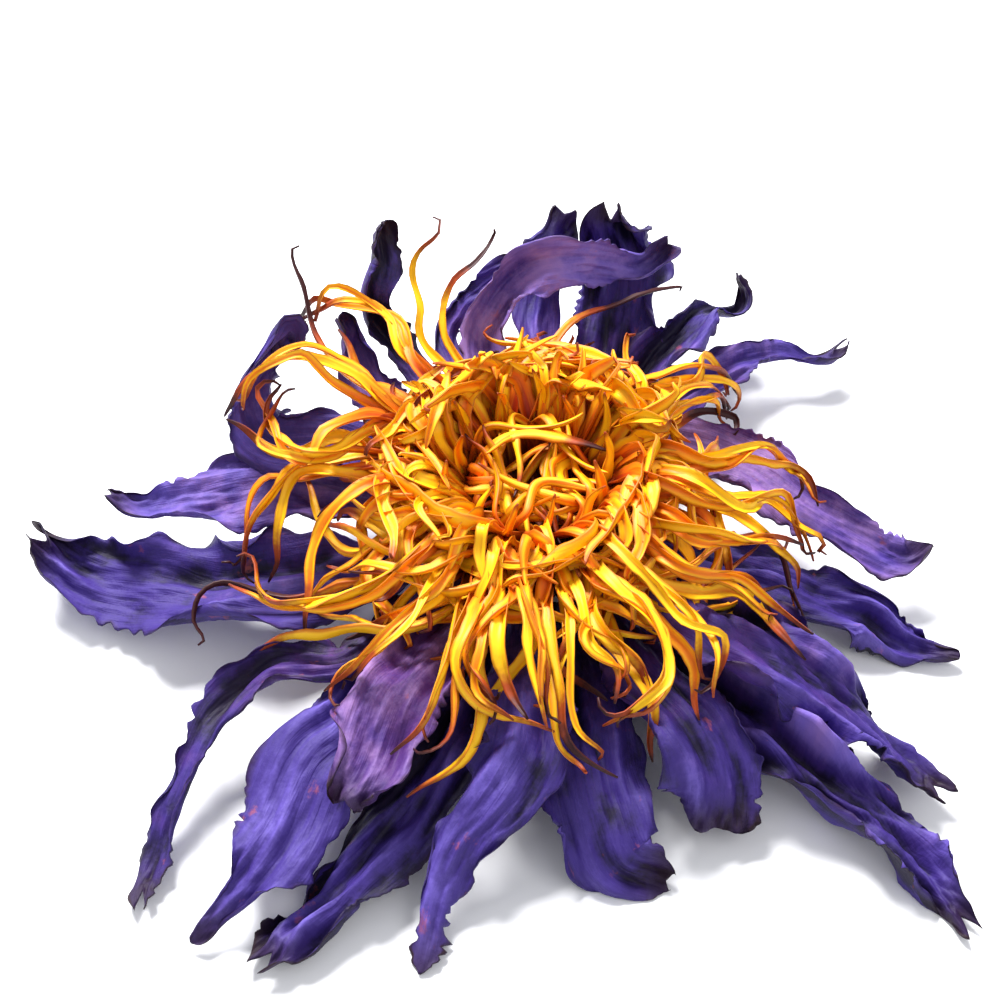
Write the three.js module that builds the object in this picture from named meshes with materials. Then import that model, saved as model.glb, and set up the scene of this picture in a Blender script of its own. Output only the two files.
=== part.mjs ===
// A dried blue water lily flower, opened flat and lying face up on a table.
// Millimetres, +Z up; the table top is z = 0. Every route below is measured from the flower's own
// axis, the upright line through the middle of the receptacle, and the whole flower is centred at the end.
import * as THREE from "three";

// Receptacle: the solid heart of the flower, with a flat cut where the stalk was.
const RECEPTACLE_RADIUS = 6.1;
const RECEPTACLE_HEIGHT = 9.5;
const STALK_SCAR_RADIUS = 3.6;
const RECEPTACLE_SIDES = 24;
const GAP = 0.35; // left between pieces that grew against each other

// Stigma disc: the dished cap of the ovary, with a ring of incurved points round its rim.
const DISC_RADIUS = 4.8;
const DISC_THICKNESS = 1.1;
const DISC_RIM_RISE = 1.2;
const DISC_POINTS = 16;

// Outlines from the axis outwards and back. The receptacle's, as [radius, height]: the scar, the
// swollen side where the petals sit, the shoulder where the stamens stand, and a flat top.
const RECEPTACLE_OUTLINE = [
  [0, 0],
  [STALK_SCAR_RADIUS, 0],
  [RECEPTACLE_RADIUS - 0.8, 1],
  [RECEPTACLE_RADIUS, 2.6],
  [RECEPTACLE_RADIUS, 6],
  [RECEPTACLE_RADIUS - 0.7, 8],
  [DISC_RADIUS - 0.2, RECEPTACLE_HEIGHT],
  [0, RECEPTACLE_HEIGHT],
];

// The disc's, as shares of its radius and of its thickness: a flat floor and a dished top.
const DISC_OUTLINE = [
  [0, 0],
  [0.92, 0],
  [1, 0.5],
  [1, 1],
  [0.7, 0.8],
  [0.35, 0.6],
  [0, 0.7],
];
const DISC_TOP_SHARE = 0.55; // what stands above this share of the thickness is its rayed top

// Petals and sepals are thin blades, stamens narrow ribbons.
const PETAL_COLOR = 0x4e3a86;
const SEPAL_COLOR = 0x3c2c62;
const PETAL_THICKNESS = 0.5;
const PETAL_CELLS_ACROSS = 4;
const PETAL_STEPS_PER_SPAN = 2;
const STAMEN_COLOR = 0xf5a81c;
const STAMEN_WIDTH = 1.25;
const STAMEN_THICKNESS = 0.5;
const STAMEN_TIP_SHARE = 0.4; // tip width as a share of the full width
const STAMEN_CELLS_ACROSS = 1;
const STAMEN_STEPS_PER_SPAN = 2;

// Outer stamens spring from one ring on the receptacle, inner ones from a higher, narrower ring.
const OUTER_FOOT = { radius: 6.5, height: 7.6 };
const OUTER_KNEE = { radius: 8.6, height: 11.5 };
const INNER_FOOT = { radius: 5.5, height: 9.9 };
const INNER_COUNT = 13;

// The bends of an inner stamen, foot to tip: turn is how far round from its foot, in degrees; lean and
// lift are how much further out and up every other stamen of the ring goes.
const INNER_BENDS = [
  { turn: 0, radius: 7.3, height: 13, lean: 0, lift: 0 },
  { turn: 4, radius: 8, height: 17, lean: 1.1, lift: 0 },
  { turn: 10, radius: 7, height: 20, lean: 2.2, lift: 1.1 },
];

// Sepals and petals, clockwise from the left. A route runs from the foot on the receptacle to the tip;
// widths are across the blade at each point of the route; cup is how far the edges stand above the
// midrib at the widest place (below it when negative); roll turns the blade from foot to tip, in degrees.
const BLADES = [
  {
    name: "sepal_left",
    route: [
      [-6.6, 0, 2], [-20, -6, 6], [-31, -7, 5], [-38, -6, 4], [-46, -4, 3], [-50, -2, 4],
      [-52, -1, 8],
    ],
    widths: [4, 8.5, 12, 11, 9.5, 7.5, 4],
    cup: 1.5,
    roll: [0, 10],
  },
  {
    name: "petal_left_spread",
    route: [[-6.7, 1, 4], [-23, 5, 7], [-31, 4, 7.5], [-36, 3, 7], [-41, 2, 7], [-45, 3, 8.5]],
    widths: [4, 8, 9, 6, 4, 3],
    cup: 1,
    roll: [0, 0],
  },
  {
    name: "petal_left_arched",
    route: [
      [-6, 3, 5.5], [-20, 8, 10], [-28, 8, 11.5], [-30, 11, 14], [-29, 13, 18], [-26, 16, 20],
      [-26, 14.5, 17],
    ],
    widths: [4, 6, 7.5, 7.5, 7, 5, 3.5],
    cup: 0.8,
    roll: [0, 0],
  },
  {
    name: "petal_left_upright",
    route: [[-4.9, 4.7, 3.8], [-16, 15, 9], [-19, 19, 12], [-20, 20.5, 15], [-21, 21, 17]],
    widths: [3.5, 5, 5.5, 5, 3],
    cup: 0.8,
    roll: [0, 0],
  },
  {
    name: "petal_back_tall",
    route: [[-3.3, 5.9, 5.5], [-14, 21, 12], [-17, 23, 17], [-16, 26, 20], [-15, 28, 24]],
    widths: [3, 4, 4, 5, 3.5],
    cup: 0.5,
    roll: [0, 0],
  },
  {
    name: "petal_back_narrow",
    route: [[-1.6, 6.6, 3.9], [-9, 22, 10], [-8, 26, 13], [-5, 28, 15], [-1, 30, 17]],
    widths: [3, 3, 3, 3, 2],
    cup: 0.4,
    roll: [0, 0],
  },
  {
    name: "petal_back_arched",
    route: [
      [-0.2, 6.8, 5.6], [-5, 20, 12], [-4, 24, 15], [-1, 26, 18], [3, 27, 19], [9, 29, 17],
      [13, 31, 15], [16, 33, 17],
    ],
    widths: [3, 4.5, 4.5, 5, 6.5, 5, 4, 3.5],
    cup: 0.7,
    roll: [0, 0],
  },
  {
    name: "petal_back_round",
    route: [[1.7, 6.6, 3.9], [1, 26, 8], [2, 33, 13], [3, 33, 18], [4, 34, 21]],
    widths: [3.5, 5, 5.5, 5, 4.5],
    cup: 0.6,
    roll: [0, 0],
  },
  {
    name: "sepal_back",
    route: [[2.6, 6.6, 2.4], [9, 22, 4.5], [11, 33, 10.5], [10, 34, 15], [9, 34, 19], [9, 35, 21]],
    widths: [4, 9, 10, 10, 7, 2.5],
    cup: 0.8,
    roll: [0, 0],
  },
  {
    name: "petal_right_curled",
    route: [[4.2, 5.3, 5.4], [12, 19, 9], [17, 25, 9.5], [21, 31, 8], [24, 32, 8], [24, 34, 11]],
    widths: [3.5, 4.5, 6, 4.5, 4.5, 2.5],
    cup: 0.8,
    roll: [0, 0],
  },
  {
    name: "petal_right_wavy",
    route: [[5.6, 3.8, 3.6], [16, 18, 6], [23, 25, 5], [28, 27, 4], [33, 27, 4], [37, 29, 5]],
    widths: [3.5, 5.5, 5, 3.5, 3, 2],
    cup: 0.8,
    roll: [0, 0],
  },
  {
    name: "petal_right_smooth",
    route: [
      [6.5, 2.2, 5.4], [13, 8, 9], [18, 8, 9.5], [23, 6, 8.5], [29, 1, 8], [34, -1.5, 6.5],
      [39, -3, 4.5], [42, -2, 6],
    ],
    widths: [4, 4.5, 6.5, 7, 6, 6, 4.5, 2],
    cup: 0.8,
    roll: [0, 0],
  },
  {
    name: "sepal_right",
    route: [[6.8, 0, 2.2], [22, -4.5, 4], [29, -7.5, 3.5], [34, -8.5, 2], [38, -11, 1], [44, -13, 1]],
    widths: [4, 7, 7, 8, 6, 2],
    cup: 1,
    roll: [0, 0],
  },
  {
    name: "petal_right_draped",
    route: [
      [6.3, -2.4, 5.4], [13, -12, 11], [19, -17, 12], [25, -20, 10], [31, -23, 7], [36, -27, 4],
      [40, -31, 3],
    ],
    widths: [4, 8, 9, 10, 8, 5.5, 3],
    cup: -1,
    roll: [0, 0],
  },
  {
    name: "petal_right_longest",
    route: [
      [5.2, -4.2, 3.8], [15, -16, 3.6], [22, -24, 4], [27, -29, 4], [33, -34, 2.5], [37, -39, 1],
      [41, -44, 0.5],
    ],
    widths: [4, 6.5, 7.5, 7.5, 7, 5, 2],
    cup: 1,
    roll: [0, 0],
  },
  {
    name: "petal_front_round",
    route: [[3.4, -5.8, 5.45], [10, -19, 8.5], [14.5, -26, 9.5], [17, -31, 7], [17, -35, 3]],
    widths: [4, 7, 10, 10.5, 7],
    cup: -1.2,
    roll: [0, 0],
  },
  {
    name: "sepal_front",
    route: [[1.4, -6.7, 2.2], [4, -21, 6], [5, -29, 6.5], [6, -34, 5], [8, -38, 2.5], [13, -39, 1]],
    widths: [4, 8, 10, 11, 9, 4],
    cup: -1,
    roll: [0, 0],
  },
  {
    name: "petal_front_pointed",
    route: [
      [-0.6, -6.8, 5.4], [-1, -26, 10], [-3, -32, 9], [-7, -37, 6], [-9, -41, 3],
      [-11, -48, 0.8],
    ],
    widths: [4, 8, 8, 6, 4, 1.5],
    cup: -0.8,
    roll: [0, 0],
  },
  {
    name: "petal_front_dark",
    route: [
      [-1, -6.8, 3.8], [-7, -23, 4], [-11, -31, 4], [-15, -37, 3.5], [-21, -43, 1],
      [-26, -48, 0.8],
    ],
    widths: [3.5, 6, 7, 7.5, 7.5, 3],
    cup: 0.8,
    roll: [0, 0],
  },
  {
    name: "petal_left_broad",
    route: [
      [-5, -4.6, 3.8], [-16, -24, 7], [-21, -30, 7], [-24, -37, 5.5], [-27, -41, 4],
      [-32, -45, 0.8],
    ],
    widths: [4, 8, 10, 10, 4.5, 2],
    cup: 0.8,
    roll: [0, 0],
  },
  {
    name: "petal_left_hooked",
    route: [
      [-6.5, -2.8, 5.4], [-17, -18, 9], [-26, -19, 8], [-31, -23, 7], [-34, -29, 4.5],
      [-36, -35, 2], [-37, -39, 1], [-37, -42, 0.8],
    ],
    widths: [4, 5, 5, 4, 3.5, 4, 3, 1.5],
    cup: 0.7,
    roll: [0, 0],
  },
  {
    name: "petal_front_inner",
    route: [[-3.2, -6, 6.6], [-10, -18, 10], [-14, -25, 11], [-16, -31, 10], [-18, -35, 8]],
    widths: [4, 8, 9, 9, 4.5],
    cup: 0.8,
    roll: [0, 0],
  },
];

// Outer stamens, clockwise from the left: the bends of each, from above its knee to its tip.
const OUTER_STAMENS = [
  [[-15, 2, 15], [-24, 1, 15], [-27, -2, 14], [-29, -5, 10], [-29.5, -7, 8]],
  [[-15, 4.5, 16.5], [-19.5, 1, 18], [-23, -1, 19], [-26.5, 3, 18], [-27, 6, 19], [-26, 8, 20]],
  [[-15, 7, 18], [-19.5, 9, 21], [-24.5, 10, 22], [-28.5, 8, 21], [-32, 6, 17]],
  [[-16, 10, 16.5], [-21, 12.5, 18], [-23.5, 17.5, 20], [-24.5, 21, 22], [-25.5, 23.5, 24]],
  [[-13, 14.5, 17], [-15.5, 18.5, 19], [-20, 20, 20], [-23, 20, 19], [-25.5, 20, 17]],
  [[-11, 17, 16], [-12, 20.5, 19], [-12.5, 23, 21], [-12, 25, 23], [-10.5, 27, 24.5]],
  [[-8, 17, 15], [-9.5, 20, 17], [-8.5, 23, 19.5], [-6, 25, 21], [-4, 28, 22]],
  [[1.5, 16, 14], [4, 21, 15], [10, 25, 15], [16.5, 29, 14]],
  [[9, 9, 17], [15.5, 14, 16], [19.5, 16, 14], [23, 16, 10]],
  [[12, 5, 16.5], [17, 10, 15], [20, 13, 13], [21, 12.5, 9.5]],
  [[13, 1, 18], [18, 0, 17.5], [24, 2, 15.5], [28, 2, 12.5], [29.5, 0, 10]],
  [[13, -3, 18], [19, -5, 17.5], [24, -4, 15.5], [27.5, -4.5, 12], [28.5, -6.5, 9]],
  [[12.5, -7, 18], [17, -10, 17.5], [22, -9, 16], [27, -8, 13]],
  [[10, -10, 18], [15, -14, 17], [20.5, -14, 15], [27, -18, 12]],
  [[8.5, -13, 17.5], [14, -18, 16.5], [17, -22, 15], [17, -26, 13]],
  [[6.5, -15, 18], [10, -20, 18], [12.5, -26, 16], [9.5, -29, 15], [6, -29.5, 14]],
  [[4, -16, 16.5], [5.5, -21, 16], [7.5, -24, 15], [7, -27, 13.5]],
  [[1.5, -17, 15.5], [2, -24, 14.5], [3, -30, 13], [7.5, -33.5, 11]],
  [[-1, -17, 17.5], [-0.5, -23, 17.5], [0.5, -28, 15.5], [1, -30, 14]],
  [[-3.5, -16, 16], [-5.5, -22, 16.5], [-5.5, -26.5, 15], [-2, -29, 14]],
  [[-6, -15, 15], [-8.5, -22, 15.5], [-10, -29, 14], [-13.5, -32, 12.5]],
  [[-8.5, -13, 16], [-12.5, -19, 16], [-17, -22.5, 14.5], [-20, -25, 12.5]],
  [[-11, -10, 16], [-18.5, -15, 14.5], [-25, -15, 12.5], [-30, -10, 10.5]],
];

// Uniform Catmull-Rom curve through a list of points, read at a share of its length in points.
function smooth(points) {
  const curve = new THREE.CatmullRomCurve3(points, false, "catmullrom", 0.5);
  return (share) => curve.getPoint(share);
}

// Joins a grid of points on the outside of a blade to one on its back as a closed body.
// Both grids have rows + 1 by columns + 1 points.
function closedShell(front, back, rows, columns) {
  const stride = columns + 1;
  const perSide = (rows + 1) * stride;
  const index = [];
  const quad = (a, b, c, d) => index.push(a, b, c, a, c, d);
  for (let i = 0; i < rows; i++) {
    for (let j = 0; j < columns; j++) {
      const a = i * stride + j;
      quad(a, a + 1, a + stride + 1, a + stride);
      quad(perSide + a, perSide + a + stride, perSide + a + stride + 1, perSide + a + 1);
    }
    const left = i * stride;
    const right = left + columns;
    quad(left, left + stride, perSide + left + stride, perSide + left);
    quad(right, perSide + right, perSide + right + stride, right + stride);
  }
  for (let j = 0; j < columns; j++) {
    const far = rows * stride + j;
    quad(j, perSide + j, perSide + j + 1, j + 1);
    quad(far, far + 1, perSide + far + 1, perSide + far);
  }
  const geometry = new THREE.BufferGeometry();
  const positions = [...front, ...back].flatMap((point) => point.toArray());
  geometry.setAttribute("position", new THREE.Float32BufferAttribute(positions, 3));
  geometry.setIndex(index);
  geometry.computeVertexNormals();
  return geometry;
}

// A thin blade that follows a route. Its face looks up at the foot and turns only as the route bends.
// What would sink below the table lies pressed flat on it.
function bladeGeometry({ route, widths, cup, roll, thickness, across, stepsPerSpan }) {
  const at = smooth(route.map((point) => new THREE.Vector3(...point)));
  const widthAt = smooth(widths.map((width) => new THREE.Vector3(width, 0, 0)));
  const widest = Math.max(...widths);
  const steps = (route.length - 1) * stepsPerSpan;
  const front = [];
  const back = [];
  const face = new THREE.Vector3(0, 0, 1);
  for (let i = 0; i <= steps; i++) {
    const share = i / steps;
    const middle = at(share);
    const ahead = at(Math.min(share + 0.01, 1)).sub(at(Math.max(share - 0.01, 0))).normalize();
    face.addScaledVector(ahead, -face.dot(ahead)).normalize();
    const up = face.clone();
    up.applyAxisAngle(ahead, THREE.MathUtils.degToRad(roll[0] + (roll[1] - roll[0]) * share));
    const side = ahead.clone().cross(up);
    const halfWidth = widthAt(share).x / 2;
    const rise = cup * (2 * halfWidth / widest);
    for (let j = 0; j <= across; j++) {
      const offset = (2 * j) / across - 1;
      const top = middle.clone().addScaledVector(side, offset * halfWidth);
      top.addScaledVector(up, rise * offset * offset);
      const bottom = top.clone().addScaledVector(up, -thickness);
      bottom.z = Math.max(bottom.z, 0);
      top.z = Math.max(top.z, bottom.z + thickness * Math.max(up.z, 0));
      front.push(top);
      back.push(bottom);
    }
  }
  return closedShell(front, back, steps, across);
}

function addMesh(group, name, geometry, material) {
  const mesh = new THREE.Mesh(geometry, material);
  mesh.name = name;
  group.add(mesh);
}

const flower = new THREE.Group();

// An outline turned about the upright axis.
function turned(outline, sides) {
  const points = outline.map(([radius, height]) => new THREE.Vector2(radius, height));
  return new THREE.LatheGeometry(points, sides).rotateX(Math.PI / 2);
}

addMesh(
  flower,
  "receptacle",
  turned(RECEPTACLE_OUTLINE, RECEPTACLE_SIDES),
  new THREE.MeshStandardMaterial({ color: 0x5a3a2a, roughness: 0.85, metalness: 0 }),
);

// The disc lies just clear of the receptacle, and its top rises towards the rim in a ring of points.
const discFloor = RECEPTACLE_HEIGHT + GAP;
const discOutline = DISC_OUTLINE.map(([radius, height]) => [
  radius * DISC_RADIUS,
  discFloor + height * DISC_THICKNESS,
]);
const disc = turned(discOutline, DISC_POINTS * 2);
const discPoints = disc.getAttribute("position");
for (let i = 0; i < discPoints.count; i++) {
  const radius = Math.hypot(discPoints.getX(i), discPoints.getY(i));
  const angle = Math.atan2(discPoints.getY(i), discPoints.getX(i));
  const height = discPoints.getZ(i);
  const wave = (1 + Math.cos(DISC_POINTS * angle)) / 2;
  if (height > discFloor + DISC_THICKNESS * DISC_TOP_SHARE) {
    discPoints.setZ(i, height + DISC_RIM_RISE * wave * (radius / DISC_RADIUS) ** 3);
  }
}
disc.computeVertexNormals();
addMesh(
  flower,
  "stigma_disc",
  disc,
  new THREE.MeshStandardMaterial({ color: 0x7a3212, roughness: 0.7, metalness: 0 }),
);

// Sepals and petals.
for (const blade of BLADES) {
  const geometry = bladeGeometry({
    ...blade,
    thickness: PETAL_THICKNESS,
    across: PETAL_CELLS_ACROSS,
    stepsPerSpan: PETAL_STEPS_PER_SPAN,
  });
  const color = blade.name.startsWith("sepal") ? SEPAL_COLOR : PETAL_COLOR;
  const skin = new THREE.MeshStandardMaterial({ color, roughness: 0.7, metalness: 0 });
  addMesh(flower, blade.name, geometry, skin);
}

// Stamens: ribbons that narrow to the anther, each with a route of its own.
function addStamen(name, route) {
  const last = route.length - 1;
  const widths = route.map((_, i) => STAMEN_WIDTH * (1 - (1 - STAMEN_TIP_SHARE) * (i / last)));
  const geometry = bladeGeometry({
    route,
    widths,
    cup: 0,
    roll: [0, 0],
    thickness: STAMEN_THICKNESS,
    across: STAMEN_CELLS_ACROSS,
    stepsPerSpan: STAMEN_STEPS_PER_SPAN,
  });
  const skin = new THREE.MeshStandardMaterial({ color: STAMEN_COLOR, roughness: 0.55, metalness: 0 });
  addMesh(flower, name, geometry, skin);
}

const around = (degrees, radius, height) => {
  const angle = THREE.MathUtils.degToRad(degrees);
  return [radius * Math.cos(angle), radius * Math.sin(angle), height];
};
const number = (n) => String(n).padStart(2, "0");

// The outer ring's feet are evenly spaced, and each stamen climbs over its knee before it bends away.
OUTER_STAMENS.forEach((bends, i) => {
  const degrees = 180 - (i * 360) / OUTER_STAMENS.length;
  const foot = around(degrees, OUTER_FOOT.radius, OUTER_FOOT.height);
  const knee = around(degrees, OUTER_KNEE.radius, OUTER_KNEE.height);
  addStamen("stamen_outer_" + number(i + 1), [foot, knee, ...bends]);
});

// The inner ring stands up round the disc, and its tips lean out or in by turns.
for (let i = 0; i < INNER_COUNT; i++) {
  const degrees = (i * 360) / INNER_COUNT;
  const out = i % 2;
  const bends = INNER_BENDS.map((bend) =>
    around(degrees + bend.turn, bend.radius + out * bend.lean, bend.height + out * bend.lift),
  );
  const foot = around(degrees, INNER_FOOT.radius, INNER_FOOT.height);
  addStamen("stamen_inner_" + number(i + 1), [foot, ...bends]);
}

// Centred over the middle of its own outline, standing on the table.
const outline = new THREE.Box3().setFromObject(flower);
const centre = outline.getCenter(new THREE.Vector3());
flower.position.set(-centre.x, -centre.y, -outline.min.z);

export default flower;
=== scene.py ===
import math
import random

import bpy
import numpy as np
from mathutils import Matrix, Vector


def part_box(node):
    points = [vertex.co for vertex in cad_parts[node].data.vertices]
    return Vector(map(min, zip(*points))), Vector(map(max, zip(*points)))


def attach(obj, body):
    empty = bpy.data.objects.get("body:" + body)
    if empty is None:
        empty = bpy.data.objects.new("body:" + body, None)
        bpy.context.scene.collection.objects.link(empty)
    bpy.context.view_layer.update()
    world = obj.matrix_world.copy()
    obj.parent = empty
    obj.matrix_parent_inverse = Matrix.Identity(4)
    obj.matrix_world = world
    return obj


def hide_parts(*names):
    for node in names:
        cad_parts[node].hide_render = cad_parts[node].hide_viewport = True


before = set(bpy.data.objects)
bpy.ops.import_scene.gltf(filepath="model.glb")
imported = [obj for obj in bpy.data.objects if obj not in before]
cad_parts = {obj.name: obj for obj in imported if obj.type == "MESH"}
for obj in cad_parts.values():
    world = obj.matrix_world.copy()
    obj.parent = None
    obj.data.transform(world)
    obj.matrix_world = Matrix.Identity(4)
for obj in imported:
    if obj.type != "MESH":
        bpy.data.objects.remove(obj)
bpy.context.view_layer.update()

# ---------------------------------------------------------------------------------------------
# Receptacle: the solid heart of the flower, dried hard and brown, cut flush under the petals.
# Everything else grew out of it, so its upright axis is where every route below is measured from.
# It is turned up as one ribbed body, a little knobbly where petals and stamens spring from it.
MM = 0.001
low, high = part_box("receptacle")
heart = np.array([(low.x + high.x) / 2, (low.y + high.y) / 2, 0.0])
receptacle_radius = (high.x - low.x) / 2 / MM
receptacle_height = high.z / MM


def linear(red, green, blue):
    """A dyer's 0-255 colour as the linear values that a shader takes."""
    shares = [value / 255 for value in (red, green, blue)]
    return tuple(v / 12.92 if v <= 0.04045 else ((v + 0.055) / 1.055) ** 2.4 for v in shares) + (1.0,)


class Wire:
    """A shader socket that can be written into sums and products."""

    def __init__(self, bench, socket):
        self.bench = bench
        self.socket = socket

    def math(self, operation, *others):
        return self.bench.node("ShaderNodeMath", {"operation": operation}, [self, *others])

    def __add__(self, other):
        return self.math("ADD", other)

    def __radd__(self, other):
        return self.math("ADD", other)

    def __sub__(self, other):
        return self.math("SUBTRACT", other)

    def __rsub__(self, other):
        return self.bench.node("ShaderNodeMath", {"operation": "SUBTRACT"}, [other, self])

    def __mul__(self, other):
        return self.math("MULTIPLY", other)

    def __rmul__(self, other):
        return self.math("MULTIPLY", other)

    def __abs__(self):
        return self.bench.node("ShaderNodeMath", {"operation": "ABSOLUTE"}, [self])

    def between(self, start, end):
        """0 below start, 1 above end, smooth in the middle."""
        inputs = {"Value": self, "From Min": start, "From Max": end}
        return self.bench.node("ShaderNodeMapRange", {"interpolation_type": "SMOOTHSTEP"}, inputs)


class Finish:
    """One material being mixed: a Principled shader and the nodes that feed it."""

    def __init__(self, name, shader):
        self.material = bpy.data.materials.new(name)
        self.material.use_nodes = True
        self.tree = self.material.node_tree
        self.shader = self.tree.nodes["Principled BSDF"]
        for socket, value in shader.items():
            self.shader.inputs[socket].default_value = value

    def node(self, kind, settings=None, inputs=(), output=0):
        """A new node: its settings, then a value or a wire for each input socket."""
        made = self.tree.nodes.new(kind)
        for key, value in (settings or {}).items():
            setattr(made, key, value)
        pairs = inputs.items() if isinstance(inputs, dict) else enumerate(inputs)
        for key, value in pairs:
            if isinstance(value, Wire):
                self.tree.links.new(value.socket, made.inputs[key])
            else:
                made.inputs[key].default_value = value
        return Wire(self, made.outputs[output])

    def grown(self, name, output="Fac"):
        """A value that the mesh carries, such as how far along the petal a point is."""
        return self.node("ShaderNodeAttribute", {"attribute_name": name}, output=output)

    def stretch(self, vector, scale):
        return self.node("ShaderNodeVectorMath", {"operation": "MULTIPLY"}, [vector, scale])

    def noise(self, vector, scale, detail=4.0, roughness=0.55):
        inputs = {"Vector": vector, "Scale": scale, "Detail": detail, "Roughness": roughness}
        return self.node("ShaderNodeTexNoise", None, inputs)

    def blend(self, share, first, second):
        """The first colour where the share is 0, the second where it is 1."""
        settings = {"data_type": "RGBA", "clamp_factor": True}
        return self.node("ShaderNodeMix", settings, {0: share, 6: first, 7: second}, output=2)

    def feed(self, socket, wire):
        self.tree.links.new(wire.socket, self.shader.inputs[socket])

    def emboss(self, height, strength, distance):
        """Fine relief in the skin, with the distance in metres."""
        inputs = {"Height": height, "Strength": strength, "Distance": distance}
        self.feed("Normal", self.node("ShaderNodeBump", None, inputs))


def make_piece(name, points, faces, finish, grown=None, replaces=()):
    """A mesh piece with its carried values, riding with the flower."""
    mesh = bpy.data.meshes.new(name)
    mesh.from_pydata((np.asarray(points) * MM + heart).tolist(), [], faces)
    for key, values in (grown or {}).items():
        values = np.asarray(values, np.float32)
        vector = values.ndim == 2
        layer = mesh.attributes.new(key, "FLOAT_VECTOR" if vector else "FLOAT", "POINT")
        layer.data.foreach_set("vector" if vector else "value", values.ravel())
    mesh.materials.append(finish.material)
    mesh.shade_smooth()
    piece = bpy.data.objects.new(name, mesh)
    bpy.context.scene.collection.objects.link(piece)
    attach(piece, "root")
    if replaces:
        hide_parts(*replaces)
    return piece


def turned(profile, around, ripple):
    """A closed body turned about the flower's axis; ripple(angle, radius, height) moves each point."""
    points = []
    faces = []
    for radius, height in profile:
        for k in range(around):
            angle = 2 * math.pi * k / around
            out, up = ripple(angle, radius, height)
            points.append((out * math.cos(angle), out * math.sin(angle), up))
    for ring in range(len(profile) - 1):
        for k in range(around):
            a = ring * around + k
            b = ring * around + (k + 1) % around
            faces.append((a, b, b + around, a + around))
    faces.append(tuple(reversed(range(around))))
    last = (len(profile) - 1) * around
    faces.append(tuple(range(last, last + around)))
    return points, faces


heartwood = Finish("dried_receptacle", {"Roughness": 0.8})
place = heartwood.node("ShaderNodeTexCoord", None, output="Object")
grain = heartwood.noise(heartwood.stretch(place, (1, 1, 0.25)), 900, 6)
brown = heartwood.blend(grain.between(0.35, 0.7), linear(46, 28, 26), linear(112, 76, 48))
heartwood.feed("Base Color", brown)
heartwood.emboss(grain, 0.6, 0.0004)

RIBS = 26
RECEPTACLE_PROFILE = [  # shares of the radius, and heights in millimetres
    (0.07, 0.0), (0.5, 0.0), (0.75, 0.25), (0.88, 1.0), (0.97, 2.0), (0.99, 3.2), (1.0, 4.6), (0.98, 6.0),
    (0.92, 7.2), (0.86, 8.2), (0.77, receptacle_height - 0.25), (0.5, receptacle_height),
    (0.07, receptacle_height),
]


def ribbed(angle, radius, height):
    swell = 0.16 * math.sin(RIBS * angle) * math.sin(2.1 * height) if 0.3 < height < 9 else 0
    return radius * receptacle_radius + swell, height


points, faces = turned(RECEPTACLE_PROFILE, 6 * RIBS, ribbed)
make_piece("heart", points, faces, heartwood, replaces=["receptacle"])

# ---------------------------------------------------------------------------------------------
# Stigma disc: the dished cap of the ovary, with rays running out to a ring of incurved points.
# It grew on top of the receptacle and dried orange-brown under the leaning inner stamens.
DISC_RAYS = 16
disc_low, disc_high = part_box("stigma_disc")
disc_floor = disc_low.z / MM
disc_radius = (disc_high.x - disc_low.x) / 2 / MM

disc_finish = Finish("dried_stigma", {"Roughness": 0.7})
place = disc_finish.node("ShaderNodeTexCoord", None, output="Object")
grain = disc_finish.noise(place, 1400, 5)
rust = disc_finish.blend(grain.between(0.3, 0.7), linear(44, 14, 8), linear(122, 50, 14))
disc_finish.feed("Base Color", rust)
disc_finish.emboss(grain, 0.5, 0.0003)

DISC_PROFILE = [  # radii, and heights above the disc's floor, in millimetres
    (0.2, 0.0), (3.5, 0.0), (4.5, 0.1), (4.8, 0.5), (4.75, 1.0), (4.3, 1.15), (3.5, 0.95), (2.4, 0.75),
    (1.2, 0.7), (0.5, 1.1), (0.1, 1.2),
]


def rayed(angle, radius, height):
    ray = 0.5 + 0.5 * math.cos(DISC_RAYS * angle)
    lift = (1.2 * (radius / disc_radius) ** 3 + 0.25) * ray if height > 0.6 else 0
    inward = 0.5 * ray * (radius / disc_radius) ** 3 if height > 0.9 else 0
    return radius - inward, disc_floor + height + lift


points, faces = turned(DISC_PROFILE, 12 * DISC_RAYS, rayed)
make_piece("stigma", points, faces, disc_finish, replaces=["stigma_disc"])

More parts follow.
